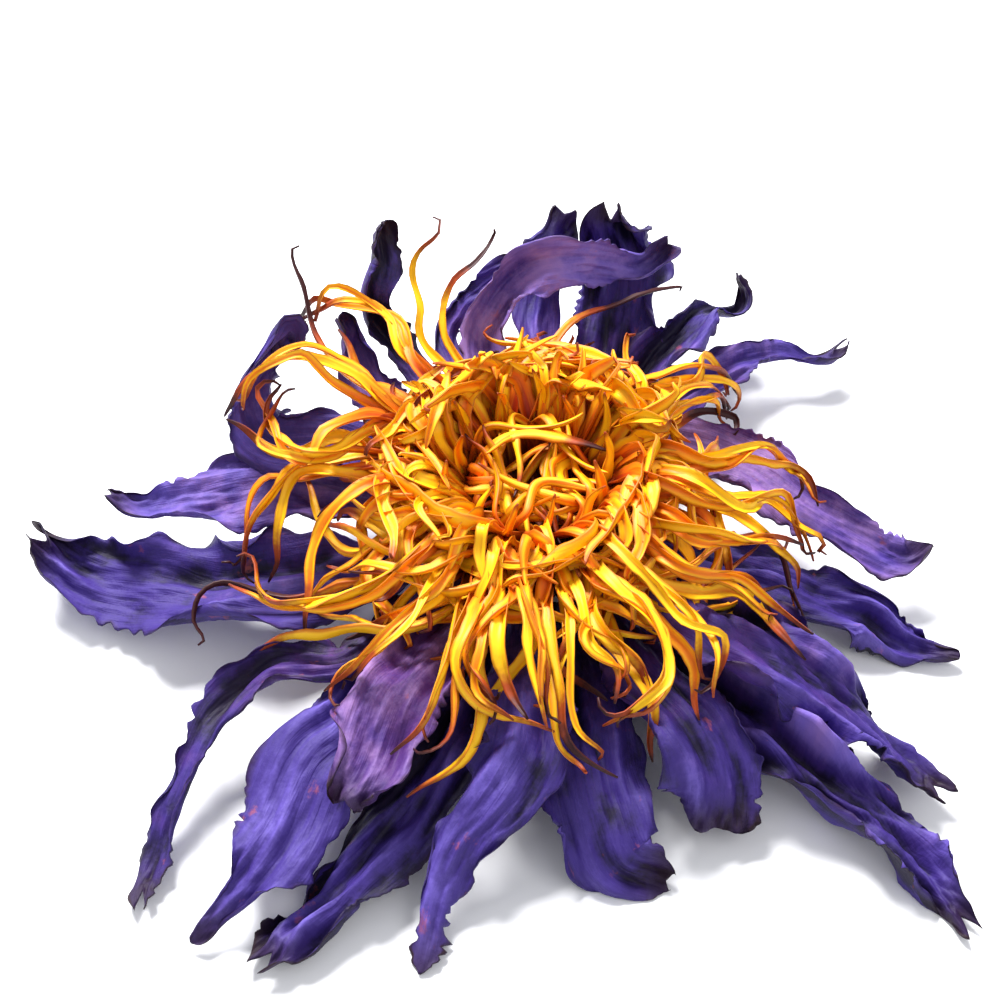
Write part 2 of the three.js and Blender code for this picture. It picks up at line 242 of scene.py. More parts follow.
# ---------------------------------------------------------------------------------------------
# Sepals and petals: thin blades that dried crumpled, with lengthwise creases, ragged edges and
# rolled dark tips. Each is one sheet grown from its foot on the receptacle; the four sepals are the
# outermost. Routes, widths, cup and roll repeat the ones that the solid blades were made from, and
# tone runs from dark indigo (0) to pale lavender (1).
BLADES = {
    "sepal_left": dict(
        route=[[-6.6, 0, 2], [-20, -6, 6], [-31, -7, 5], [-38, -6, 4], [-46, -4, 3], [-50, -2, 4],
               [-52, -1, 8]],
        widths=[4, 8.5, 12, 11, 9.5, 7.5, 4], cup=1.5,
        roll=(0, 10), tone=0.5, warmth=0.25, tip="fork", creasing=0.8),
    "petal_left_spread": dict(
        route=[[-6.7, 1, 4], [-23, 5, 7], [-31, 4, 7.5], [-36, 3, 7], [-41, 2, 7], [-45, 3, 8.5]],
        widths=[4, 8, 9, 6, 4, 3], cup=1, roll=(0, 0), tone=0.9, warmth=0.6, tip="blunt", creasing=0.8),
    "petal_left_arched": dict(
        route=[[-6, 3, 5.5], [-20, 8, 10], [-28, 8, 11.5], [-30, 11, 14], [-29, 13, 18], [-26, 16, 20],
               [-26, 14.5, 17]],
        widths=[4, 6, 7.5, 7.5, 7, 5, 3.5], cup=0.8,
        roll=(0, 0), tone=0.55, warmth=0.2, tip="blunt", creasing=0.6),
    "petal_left_upright": dict(
        route=[[-4.9, 4.7, 3.8], [-16, 15, 9], [-19, 19, 12], [-20, 20.5, 15], [-21, 21, 17]],
        widths=[3.5, 5, 5.5, 5, 3], cup=0.8, roll=(0, 0), tone=0.85, warmth=0.7, tip="blunt", creasing=0.5),
    "petal_back_tall": dict(
        route=[[-3.3, 5.9, 5.5], [-14, 21, 12], [-17, 23, 17], [-16, 26, 20], [-15, 28, 24]],
        widths=[3, 4, 4, 5, 3.5], cup=0.5, roll=(0, 0), tone=0.25, warmth=0.5, tip="blunt", creasing=0.9),
    "petal_back_narrow": dict(
        route=[[-1.6, 6.6, 3.9], [-9, 22, 10], [-8, 26, 13], [-5, 28, 15], [-1, 30, 17]],
        widths=[3, 3, 3, 3, 2], cup=0.4, roll=(0, 0), tone=0.4, warmth=0.6, tip="point", creasing=0.8),
    "petal_back_arched": dict(
        route=[[-0.2, 6.8, 5.6], [-5, 20, 12], [-4, 24, 15], [-1, 26, 18], [3, 27, 19], [9, 29, 17],
               [13, 31, 15], [16, 33, 17]],
        widths=[3, 4.5, 4.5, 5, 6.5, 5, 4, 3.5], cup=0.7,
        roll=(0, 0), tone=1.35, warmth=0.7, tip="blunt", creasing=0.6),
    "petal_back_round": dict(
        route=[[1.7, 6.6, 3.9], [1, 26, 8], [2, 33, 13], [3, 33, 18], [4, 34, 21]],
        widths=[3.5, 5, 5.5, 5, 4.5], cup=0.6, roll=(0, 0), tone=0.55, warmth=0.5, tip="blunt", creasing=0.7),
    "sepal_back": dict(
        route=[[2.6, 6.6, 2.4], [9, 22, 4.5], [11, 33, 10.5], [10, 34, 15], [9, 34, 19], [9, 35, 21]],
        widths=[4, 9, 10, 10, 7, 2.5], cup=0.8, roll=(0, 0), tone=0.4, warmth=0.45, tip="fork", creasing=1),
    "petal_right_curled": dict(
        route=[[4.2, 5.3, 5.4], [12, 19, 9], [17, 25, 9.5], [21, 31, 8], [24, 32, 8], [24, 34, 11]],
        widths=[3.5, 4.5, 6, 4.5, 4.5, 2.5], cup=0.8,
        roll=(0, 0), tone=0.35, warmth=0.4, tip="blunt", creasing=0.9),
    "petal_right_wavy": dict(
        route=[[5.6, 3.8, 3.6], [16, 18, 6], [23, 25, 5], [28, 27, 4], [33, 27, 4], [37, 29, 5]],
        widths=[3.5, 5.5, 5, 3.5, 3, 2], cup=0.8, roll=(0, 0), tone=0.5, warmth=0.5, tip="fork", creasing=1),
    "petal_right_smooth": dict(
        route=[[6.5, 2.2, 5.4], [13, 8, 9], [18, 8, 9.5], [23, 6, 8.5], [29, 1, 8], [34, -1.5, 6.5],
               [39, -3, 4.5], [42, -2, 6]],
        widths=[4, 4.5, 6.5, 7, 6, 6, 4.5, 2], cup=0.8,
        roll=(0, 0), tone=0.95, warmth=0.8, tip="point", creasing=0.35),
    "sepal_right": dict(
        route=[[6.8, 0, 2.2], [22, -4.5, 4], [29, -7.5, 3.5], [34, -8.5, 2], [38, -11, 1], [44, -13, 1]],
        widths=[4, 7, 7, 8, 6, 2], cup=1, roll=(0, 0), tone=0.35, warmth=0.15, tip="point", creasing=1.2),
    "petal_right_draped": dict(
        route=[[6.3, -2.4, 5.4], [13, -12, 11], [19, -17, 12], [25, -20, 10], [31, -23, 7], [36, -27, 4],
               [40, -31, 3]],
        widths=[4, 8, 9, 10, 8, 5.5, 3], cup=-1,
        roll=(0, 0), tone=0.35, warmth=0.45, tip="fork", creasing=1.6),
    "petal_right_longest": dict(
        route=[[5.2, -4.2, 3.8], [15, -16, 3.6], [22, -24, 4], [27, -29, 4], [33, -34, 2.5], [37, -39, 1],
               [41, -44, 0.5]],
        widths=[4, 6.5, 7.5, 7.5, 7, 5, 2], cup=1,
        roll=(0, 0), tone=0.15, warmth=0.4, tip="fork", creasing=2.2),
    "petal_front_round": dict(
        route=[[3.4, -5.8, 5.45], [10, -19, 8.5], [14.5, -26, 9.5], [17, -31, 7], [17, -35, 3]],
        widths=[4, 7, 10, 10.5, 7], cup=-1.2, roll=(0, 0), tone=0.4, warmth=0.45, tip="blunt", creasing=0.8),
    "sepal_front": dict(
        route=[[1.4, -6.7, 2.2], [4, -21, 6], [5, -29, 6.5], [6, -34, 5], [8, -38, 2.5], [13, -39, 1]],
        widths=[4, 8, 10, 11, 9, 4], cup=-1, roll=(0, 0), tone=0.45, warmth=0.2, tip="blunt", creasing=0.9),
    "petal_front_pointed": dict(
        route=[[-0.6, -6.8, 5.4], [-1, -26, 10], [-3, -32, 9], [-7, -37, 6], [-9, -41, 3], [-11, -48, 0.8]],
        widths=[4, 8, 8, 6, 4, 1.5], cup=-0.8,
        roll=(0, 0), tone=0.55, warmth=0.15, tip="point", creasing=0.8),
    "petal_front_dark": dict(
        route=[[-1, -6.8, 3.8], [-7, -23, 4], [-11, -31, 4], [-15, -37, 3.5], [-21, -43, 1], [-26, -48, 0.8]],
        widths=[3.5, 6, 7, 7.5, 7.5, 3], cup=0.8,
        roll=(0, 0), tone=0.1, warmth=0.2, tip="fork", creasing=1.2),
    "petal_left_broad": dict(
        route=[[-5, -4.6, 3.8], [-16, -24, 7], [-21, -30, 7], [-24, -37, 5.5], [-27, -41, 4],
               [-32, -45, 0.8]],
        widths=[4, 8, 10, 10, 4.5, 2], cup=0.8, roll=(0, 0), tone=0.5, warmth=0.1, tip="point", creasing=0.8),
    "petal_left_hooked": dict(
        route=[[-6.5, -2.8, 5.4], [-17, -18, 9], [-26, -19, 8], [-31, -23, 7], [-34, -29, 4.5], [-36, -35, 2],
               [-37, -39, 1], [-37, -42, 0.8]],
        widths=[4, 5, 5, 4, 3.5, 4, 3, 1.5], cup=0.7,
        roll=(0, 0), tone=0.35, warmth=0.5, tip="fork", creasing=0.8),
    "petal_front_inner": dict(
        route=[[-3.2, -6, 6.6], [-10, -18, 10], [-14, -25, 11], [-16, -31, 10], [-18, -35, 8]],
        widths=[4, 8, 9, 9, 4.5], cup=0.8, roll=(0, 0), tone=0.75, warmth=0.95, tip="blunt", creasing=0.9),
}
PETAL_THICKNESS = 0.24
PETAL_ROWS = 160
PETAL_COLUMNS = 36


def along(points, shares):
    """Uniform Catmull-Rom curve through the points, at shares of its length counted in points."""
    given = np.array(points, float).reshape(len(points), -1)
    knots = np.vstack([2 * given[0] - given[1], given, 2 * given[-1] - given[-2]])
    reach = np.clip(shares, 0, 1) * (len(given) - 1)
    i = np.minimum(reach.astype(int), len(given) - 2)
    f = (reach - i)[:, None]
    a, b, c, d = knots[i], knots[i + 1], knots[i + 2], knots[i + 3]
    return 0.5 * (2 * b + (c - a) * f + (2 * a - 5 * b + 4 * c - d) * f**2 + (3 * b - a - 3 * c + d) * f**3)


def even_shares(route, rows):
    """Shares that space the rows evenly by real length along the route."""
    fine = np.linspace(0, 1, 600)
    steps = np.linalg.norm(np.diff(along(route, fine), axis=0), axis=1)
    travelled = np.concatenate([[0], np.cumsum(steps)])
    return np.interp(np.linspace(0, travelled[-1], rows), travelled, fine), travelled[-1]


def turning_frame(route, shares):
    """Middle, direction, side and face vectors that turn only as the route bends."""
    middle = along(route, shares)
    ahead = along(route, np.minimum(shares + 0.01, 1)) - along(route, np.maximum(shares - 0.01, 0))
    ahead /= np.linalg.norm(ahead, axis=1, keepdims=True)
    face = np.zeros_like(ahead)
    look = np.array([0.0, 0.0, 1.0])
    for i, direction in enumerate(ahead):
        look = look - direction * look.dot(direction)
        look /= np.linalg.norm(look)
        face[i] = look
    return middle, ahead, np.cross(ahead, face), face


def rolled(side, face, degrees):
    """The side and face vectors turned about the direction of growth."""
    turn = np.radians(degrees)[:, None]
    return side * np.cos(turn) + face * np.sin(turn), face * np.cos(turn) - side * np.sin(turn)


def wander(rng, at, wavelength, waves=5):
    """Smooth random movement between about -1 and 1 as `at` runs on in millimetres."""
    total = np.zeros_like(at)
    for _ in range(waves):
        pitch = wavelength * rng.uniform(0.6, 1.7)
        total += math.sqrt(1 / waves) * np.sin(2 * math.pi * (at / pitch + rng.random()))
    return total


def crumple(rng, s, y, wavelength, stretch, waves=9):
    """Random creased relief over a sheet, stretched along its length."""
    total = np.zeros_like(s)
    for _ in range(waves):
        turn = rng.uniform(-0.9, 0.9)
        pitch = wavelength * rng.uniform(0.6, 1.6)
        wave = (y * math.cos(turn) + s * math.sin(turn) / stretch) / pitch + rng.random()
        total += np.arcsin(0.96 * np.sin(2 * math.pi * wave)) / 1.29
    return total / math.sqrt(waves)


def shell_faces(rows, columns):
    """Faces of a closed sheet: a front grid, a back grid and the rim between them."""
    faces = []
    back = rows * columns
    for i in range(rows - 1):
        for j in range(columns - 1):
            a = i * columns + j
            faces.append((a, a + 1, a + columns + 1, a + columns))
            faces.append((back + a, back + a + columns, back + a + columns + 1, back + a + 1))
        left = i * columns
        right = left + columns - 1
        faces.append((left, left + columns, back + left + columns, back + left))
        faces.append((right, back + right, back + right + columns, right + columns))
    for j in range(columns - 1):
        far = (rows - 1) * columns + j
        faces.append((j, back + j, back + j + 1, j + 1))
        faces.append((far, far + 1, back + far + 1, back + far))
    return faces


TEETH_MM = 0.3
TIP_SHARE = {"blunt": 0.6, "fork": 0.85, "point": 0.15}  # how much of its width the very tip keeps
NOTCH_MM = {"blunt": 0.7, "fork": 2.2, "point": 0.0}  # how far the middle of the tip falls back
ROUNDING_MM = 2.2
FULLEST_AT = 0.42  # of the blade's length, where it swells past its solid


def tents(rng, s, y, count, spread, reach, depth):
    """Sharp ridges and valleys running down a sheet, each wandering sideways a little."""
    total = np.zeros_like(y)
    for _ in range(count):
        middle = rng.uniform(-spread, spread) + 0.7 * wander(rng, s, 24)
        height = depth * rng.choice((-1, 1)) * (0.65 + 0.5 * wander(rng, s, 17))
        off = np.abs(y - middle[:, None]) / rng.uniform(0.7, 1.3)
        total += height[:, None] * np.clip(1 - off / reach, 0, 1)
    return total


def both_faces(grid):
    """The values of a grid, once for the front of a sheet and once for its back."""
    return np.concatenate([grid.ravel(), grid.ravel()])


def dried_blade(name, seed, route, widths, cup, roll, tone, warmth, tip, creasing, finish, slot):
    """One crumpled sepal or petal, grown along its route and pleated across it."""
    rng = random.Random(seed)
    shares, length = even_shares(route, PETAL_ROWS)
    middle, ahead, side, face = turning_frame(route, shares)
    width = along([[w] for w in widths], shares)[:, 0]
    widest = max(widths)
    s = np.linspace(0, length, PETAL_ROWS)
    u = s / length
    side, face = rolled(side, face, roll[0] + (roll[1] - roll[0]) * u + 12 * wander(rng, s, 24) * u)
    end = np.clip((length - s) / ROUNDING_MM, 0, 1)
    width = width * (1 + 0.25 * np.exp(-((u - FULLEST_AT) / 0.2) ** 2))
    width = width * (TIP_SHARE[tip] + (1 - TIP_SHARE[tip]) * np.sqrt(end * (2 - end)))
    x = np.linspace(-1, 1, PETAL_COLUMNS)
    S, X = np.meshgrid(s, x, indexing="ij")
    U = S / length
    grown = np.clip(u * 3.5, 0, 1)[:, None]
    withered = np.clip((u - 0.8) / 0.2, 0, 1)[:, None]
    # each margin runs smooth for a while, then breaks into small teeth
    margins = []
    for _ in range(2):
        gate = np.clip(1.7 * wander(rng, s, 13), 0, 1) * (0.2 + u)
        margins.append(TEETH_MM * gate * wander(rng, s, 1.4, 6) + 0.4 * wander(rng, s, 7))
    ragged = np.where(X < 0, margins[0][:, None], margins[1][:, None])
    half = width[:, None] / 2 + ragged * grown * np.abs(X) ** 3
    # the section across the blade is an arc whose margins roll over in places
    bow = 4 * cup / widest
    margin = np.clip((np.abs(X) - 0.5) / 0.5, 0, 1) ** 1.6
    curls = [(0.6 + 1.9 * wander(rng, s, 17))[:, None] for _ in range(2)]
    angle = bow * X + np.sign(X) * margin * np.where(X < 0, *curls) * (0.4 + 1.3 * U)
    step = 2 / (PETAL_COLUMNS - 1)
    across = np.cumsum(np.cos(angle), axis=1) * step
    lift = np.cumsum(np.sin(angle), axis=1) * step
    centre = PETAL_COLUMNS // 2
    across -= across[:, centre:centre + 1]
    lift -= lift[:, centre:centre + 1]
    # a few deep lengthwise folds, fine pleats between the veins, and a soft crumple over it all
    Y = X * half
    folds = tents(rng, s, Y, 4, widest * 0.42, 1.4, 1.05 * creasing)
    folds += tents(rng, s, Y, 7, widest * 0.5, 0.6, 0.3 * creasing)
    drift = 0.5 * wander(rng, s, 15)[:, None]
    folds += 0.05 * np.arcsin(0.97 * np.sin(2 * math.pi * (Y / 0.95 + drift)))
    folds += (0.20 * creasing + 0.3 * withered) * crumple(rng, S, Y, 3.4, 2.2)
    folds += (0.07 * creasing + 0.12 * withered) * crumple(rng, S, Y, 1.1, 1.4)
    relief = folds * grown * np.clip(width / 5, 0.4, 1.1)[:, None]
    relief = relief + 0.45 * (wander(rng, s, 14) * u)[:, None]
    notch = NOTCH_MM[tip] * (1 - np.abs(X)) * np.clip((u - 0.93) / 0.07, 0, 1)[:, None]
    top = (middle[:, None] + side[:, None] * (across * half)[..., None]
           + face[:, None] * (lift * half + relief)[..., None] - ahead[:, None] * notch[..., None])
    bottom = top - face[:, None] * PETAL_THICKNESS
    # nothing sinks into the table, and a sheet pressed against it keeps some of its thickness
    bottom[..., 2] = np.maximum(bottom[..., 2], 0.0)
    top[..., 2] = np.maximum(top[..., 2], bottom[..., 2] + 0.6 * PETAL_THICKNESS * np.maximum(face[:, None, 2], 0))
    points = np.concatenate([top.reshape(-1, 3), bottom.reshape(-1, 3)])
    sheet = np.stack([both_faces(S), both_faces(Y), np.full(2 * S.size, 41.0 * seed)], axis=1)
    sheet[S.size:, 2] += 17.0
    carried = {
        "along": both_faces(U),
        "across": both_faces(X),
        # the fold heights, which the skin turns into painted shade in the valleys
        "fold": np.concatenate([folds.ravel(), -folds.ravel()]),
        "tone": np.full(2 * S.size, tone),
        "warmth": np.full(2 * S.size, warmth),
        "sheet": sheet,
        "back": np.concatenate([np.zeros(S.size), np.ones(S.size)]),
    }
    make_piece("dried_" + name, points, shell_faces(PETAL_ROWS, PETAL_COLUMNS), finish, carried, [name])


def petal_finish(name, depth):
    """Dried petal skin: finely veined, mottled, with painted shade in its fold valleys, and darker at its tip and
    along its edge.
    """
    skin = Finish(name, {"Roughness": 0.6, "Specular IOR Level": 0.3})
    sheet = skin.grown("sheet", "Vector")
    u = skin.grown("along")
    edge = abs(skin.grown("across"))
    streaks = skin.noise(skin.stretch(sheet, (0.10, 0.9, 1)), 1.0, 6, 0.6)
    veins = skin.noise(skin.stretch(sheet, (0.12, 4.0, 1)), 1.0, 3, 0.6)
    mottle = skin.noise(sheet, 0.28, 6, 0.6)
    speck = skin.noise(sheet, 2.6, 4, 0.65)
    stain = skin.noise(skin.stretch(sheet, (0.7, 1.2, 1)), 0.32, 5, 0.65)
    shade = skin.grown("tone") * 0.75 + (streaks - 0.5) * 0.7 + (mottle - 0.5) * 1.2
    # painted shade: the fold heights darken the valleys and lighten the ridges
    shade = shade + skin.grown("fold") * 0.34
    shade = shade + (veins - 0.5) * 0.25 + (speck - 0.5) * 0.25 - skin.grown("back") * 0.1
    shade = shade + (0.04 - depth)
    warm = (skin.grown("warmth") + (mottle - 0.5) * 1.2 + (0.35 - u) * 0.7).between(0.1, 0.95)
    dark = skin.blend(warm, linear(20, 10, 44), linear(38, 8, 40))
    middle = skin.blend(warm, linear(58, 40, 120), linear(80, 36, 98))
    pale = skin.blend(warm, linear(102, 84, 176), linear(150, 112, 170))
    colour = skin.blend(shade.between(-0.1, 0.42), dark, middle)
    colour = skin.blend(shade.between(0.4, 1.1), colour, pale)
    colour = skin.blend(stain.between(0.63, 0.72) * 0.5, colour, linear(176, 84, 74))
    burnt = edge.between(0.84, 1.0) * mottle.between(0.4, 0.62) * 0.8 + u.between(0.86, 0.99) * 0.8
    colour = skin.blend(burnt, colour, linear(34, 10, 28))
    skin.feed("Base Color", colour)
    skin.emboss(veins * 0.7 + speck * 0.4 + streaks * 0.4, 0.6, 0.0003)
    return skin


petal_skin = petal_finish("dried_petal", 0.0)
sepal_skin = petal_finish("dried_sepal", 0.05)
for seed, (name, blade) in enumerate(BLADES.items(), 3):
    if name.startswith("sepal"):
        dried_blade(name, seed, finish=sepal_skin, slot="sepal", **blade)
    else:
        dried_blade(name, seed, finish=petal_skin, slot="petal", **blade)

# ---------------------------------------------------------------------------------------------
# Stamens: flat yellow ribbons, grooved down the middle and broadest low down, that dried curling,
# with brown points. They spring from rings on the receptacle's shoulder. The ones with solids of
# their own come first: an outer ring with a route each, then an upright ring round the disc.
OUTER_STAMENS = [
    [[-15, 2, 15], [-24, 1, 15], [-27, -2, 14], [-29, -5, 10], [-29.5, -7, 8]],
    [[-15, 4.5, 16.5], [-19.5, 1, 18], [-23, -1, 19], [-26.5, 3, 18], [-27, 6, 19], [-26, 8, 20]],
    [[-15, 7, 18], [-19.5, 9, 21], [-24.5, 10, 22], [-28.5, 8, 21], [-32, 6, 17]],
    [[-16, 10, 16.5], [-21, 12.5, 18], [-23.5, 17.5, 20], [-24.5, 21, 22], [-25.5, 23.5, 24]],
    [[-13, 14.5, 17], [-15.5, 18.5, 19], [-20, 20, 20], [-23, 20, 19], [-25.5, 20, 17]],
    [[-11, 17, 16], [-12, 20.5, 19], [-12.5, 23, 21], [-12, 25, 23], [-10.5, 27, 24.5]],
    [[-8, 17, 15], [-9.5, 20, 17], [-8.5, 23, 19.5], [-6, 25, 21], [-4, 28, 22]],
    [[1.5, 16, 14], [4, 21, 15], [10, 25, 15], [16.5, 29, 14]],
    [[9, 9, 17], [15.5, 14, 16], [19.5, 16, 14], [23, 16, 10]],
    [[12, 5, 16.5], [17, 10, 15], [20, 13, 13], [21, 12.5, 9.5]],
    [[13, 1, 18], [18, 0, 17.5], [24, 2, 15.5], [28, 2, 12.5], [29.5, 0, 10]],
    [[13, -3, 18], [19, -5, 17.5], [24, -4, 15.5], [27.5, -4.5, 12], [28.5, -6.5, 9]],
    [[12.5, -7, 18], [17, -10, 17.5], [22, -9, 16], [27, -8, 13]],
    [[10, -10, 18], [15, -14, 17], [20.5, -14, 15], [27, -18, 12]],
    [[8.5, -13, 17.5], [14, -18, 16.5], [17, -22, 15], [17, -26, 13]],
    [[6.5, -15, 18], [10, -20, 18], [12.5, -26, 16], [9.5, -29, 15], [6, -29.5, 14]],
    [[4, -16, 16.5], [5.5, -21, 16], [7.5, -24, 15], [7, -27, 13.5]],
    [[1.5, -17, 15.5], [2, -24, 14.5], [3, -30, 13], [7.5, -33.5, 11]],
    [[-1, -17, 17.5], [-0.5, -23, 17.5], [0.5, -28, 15.5], [1, -30, 14]],
    [[-3.5, -16, 16], [-5.5, -22, 16.5], [-5.5, -26.5, 15], [-2, -29, 14]],
    [[-6, -15, 15], [-8.5, -22, 15.5], [-10, -29, 14], [-13.5, -32, 12.5]],
    [[-8.5, -13, 16], [-12.5, -19, 16], [-17, -22.5, 14.5], [-20, -25, 12.5]],
    [[-11, -10, 16], [-18.5, -15, 14.5], [-25, -15, 12.5], [-30, -10, 10.5]],
]
INNER_COUNT = 13
STAMEN_ROWS = 44
STAMEN_COLUMNS = 7
STAMEN_THICKNESS = 0.22


def around(degrees, radius, height):
    """A point that far round the flower's axis, out from it and up."""
    return [radius * math.cos(math.radians(degrees)), radius * math.sin(math.radians(degrees)), height]


def ribbon(rng, route, width, twist, wide_at=0.35, brown_from=0.86):
    """Points and carried values of one stamen."""
    shares, length = even_shares(route, STAMEN_ROWS)
    middle, ahead, side, face = turning_frame(route, shares)
    s = np.linspace(0, length, STAMEN_ROWS)
    u = s / length
    side, face = rolled(side, face, twist[0] + (twist[1] - twist[0]) * u + 14 * wander(rng, s, 12) * u)
    middle = middle + side * (0.5 * wander(rng, s, 13) * u)[:, None]
    middle = middle + face * (0.4 * wander(rng, s, 11) * u)[:, None]
    belly = np.exp(-((u - wide_at) / 0.3) ** 2)
    half = width / 2 * (0.55 + 0.45 * belly) * np.clip((1 - u) / 0.2, 0.0, 1) ** 0.6 + 0.08
    half = half * (1 + 0.10 * wander(rng, s, 3.5))
    x = np.linspace(-1, 1, STAMEN_COLUMNS)
    S, X = np.meshgrid(s, x, indexing="ij")
    channel = (0.75 + 0.25 * wander(rng, s, 9))[:, None] * np.abs(X) ** 1.2
    channel = channel - 0.12 * np.cos(3 * math.pi * X)
    top = (middle[:, None] + side[:, None] * (X * half[:, None])[..., None]
           + face[:, None] * (channel * half[:, None])[..., None])
    bottom = top - face[:, None] * (STAMEN_THICKNESS * (0.55 + 0.45 * belly))[:, None, None]
    points = np.concatenate([top.reshape(-1, 3), bottom.reshape(-1, 3)])
    Y = X * half[:, None]
    sheet = np.stack([both_faces(S), both_faces(Y), np.full(2 * S.size, rng.uniform(0, 90))], axis=1)
    carried = {
        "along": both_faces(S / length),
        "across": both_faces(X),
        "tone": np.full(2 * S.size, rng.random()),
        "brown": np.full(2 * S.size, brown_from),
        "sheet": sheet,
    }
    return points, carried


def hooked(rng, route, reach=1.3):
    """The route with its tip bent over, as a drying anther curls."""
    last, before = np.array(route[-1], float), np.array(route[-2], float)
    ahead = (last - before) / np.linalg.norm(last - before)
    bend = np.cross(ahead, [rng.uniform(-1, 1), rng.uniform(-1, 1), rng.uniform(-1, 1)])
    bend /= np.linalg.norm(bend) + 0.01
    return [*route, (last + reach * (0.4 * ahead + bend)).tolist()]


def beside(rng, route, shift):
    """A route that runs alongside another and stops a little short of its tip."""
    moved = [[c + rng.uniform(-shift, shift) for c in point] for point in route[2:]]
    last, before = moved[-1], moved[-2]
    moved[-1] = [b + (l - b) * rng.uniform(0.3, 0.9) for l, b in zip(last, before)]
    return route[:2] + moved


def stamen_piece(name, ribbons, replaces=()):
    """One piece made of one or more ribbons."""
    one = shell_faces(STAMEN_ROWS, STAMEN_COLUMNS)
    count = 2 * STAMEN_ROWS * STAMEN_COLUMNS
    faces = [tuple(v + k * count for v in face) for k in range(len(ribbons)) for face in one]
    points = np.concatenate([points for points, _ in ribbons])
    carried = {key: np.concatenate([grown[key] for _, grown in ribbons]) for key in ribbons[0][1]}
    make_piece(name, points, faces, stamen_skin, carried, replaces)


stamen_skin = Finish("dried_stamen", {"Roughness": 0.5, "Specular IOR Level": 0.35})
sheet = stamen_skin.grown("sheet", "Vector")
u = stamen_skin.grown("along")
edge = abs(stamen_skin.grown("across"))
tone = stamen_skin.grown("tone")
streaks = stamen_skin.noise(stamen_skin.stretch(sheet, (0.25, 3.0, 1)), 1.0, 4, 0.6)
mottle = stamen_skin.noise(sheet, 0.8, 4, 0.6)
# own tone and streaks, with painted shade in the groove down the middle and low down in the wreath
tone_and_painted_light = edge.between(0.1, 0.7) * 0.3 + u.between(0.25, 0.6) * 0.6 + tone * 0.7 + (streaks - 0.5) * 0.7 - 0.28
colour = stamen_skin.blend(tone_and_painted_light.between(-0.15, 0.4), linear(190, 54, 2), linear(248, 130, 2))
colour = stamen_skin.blend(tone_and_painted_light.between(0.35, 0.95), colour, linear(255, 200, 16))
# painted shade: darker orange along each margin, for the shadowed gaps between the ribbons
colour = stamen_skin.blend(edge.between(0.72, 1.0) * 0.75, colour, linear(196, 84, 6))
# painted shade: the low part of each ribbon brown, deep in the wreath and the hollow
colour = stamen_skin.blend((1 - u.between(0.12, 0.5)) * 0.85, colour, linear(104, 26, 4))
past = u - stamen_skin.grown("brown") + (mottle - 0.5) * 0.12
colour = stamen_skin.blend(past.between(-0.08, 0.03), colour, linear(158, 62, 14))
colour = stamen_skin.blend(past.between(0.02, 0.12), colour, linear(58, 18, 20))
stamen_skin.feed("Base Color", colour)
stamen_skin.emboss(streaks, 0.4, 0.0002)

rng = random.Random(11)
THREADLIKE = (4, 6, 7, 8)  # shrunken to a thread, each with a curled point
OUTER_BROWN = {1: 0.9, 3: 0.84, 4: 0.66, 5: 0.84, 6: 0.88, 7: 0.72, 8: 0.6, 9: 0.8, 10: 0.82, 18: 0.72}
bundle = []
for i, bends in enumerate(OUTER_STAMENS, 1):
    degrees = 180 - (i - 1) * 360 / len(OUTER_STAMENS)
    route = [around(degrees, 6.5, 7.6), around(degrees, 8.6, 11.5), *bends]
    thin = i in THREADLIKE
    grown_along = hooked(rng, route, 1.0) if thin else route
    width = 0.9 if thin else rng.uniform(1.05, 1.45)
    made = ribbon(rng, grown_along, width, (0, rng.uniform(-90, 90)),
                  brown_from=OUTER_BROWN.get(i, rng.uniform(0.86, 0.97)))
    stamen_piece(f"dried_stamen_outer_{i:02d}", [made], [f"stamen_outer_{i:02d}"])
    for _ in range(0 if thin else 2):
        neighbour = hooked(rng, beside(rng, route, 1.5))
        bundle.append(ribbon(rng, neighbour, rng.uniform(0.8, 1.2), (0, rng.uniform(-90, 90)),
                             brown_from=rng.uniform(0.8, 0.95)))
stamen_piece("stamens_beside_outer", bundle)

for i in range(INNER_COUNT):
    degrees = i * 360 / INNER_COUNT
    lean = 2.2 if i % 2 else 0
    route = [around(degrees, 5.5, 9.9), around(degrees, 7.3, 13), around(degrees + 4, 8 + lean / 2, 17),
             around(degrees + 10, 7 + lean, 20 + lean / 2)]
    made = ribbon(rng, route, rng.uniform(1.0, 1.6), (0, rng.uniform(-90, 90)), brown_from=0.97)
    stamen_piece(f"dried_stamen_inner_{i + 1:02d}", [made], [f"stamen_inner_{i + 1:02d}"])

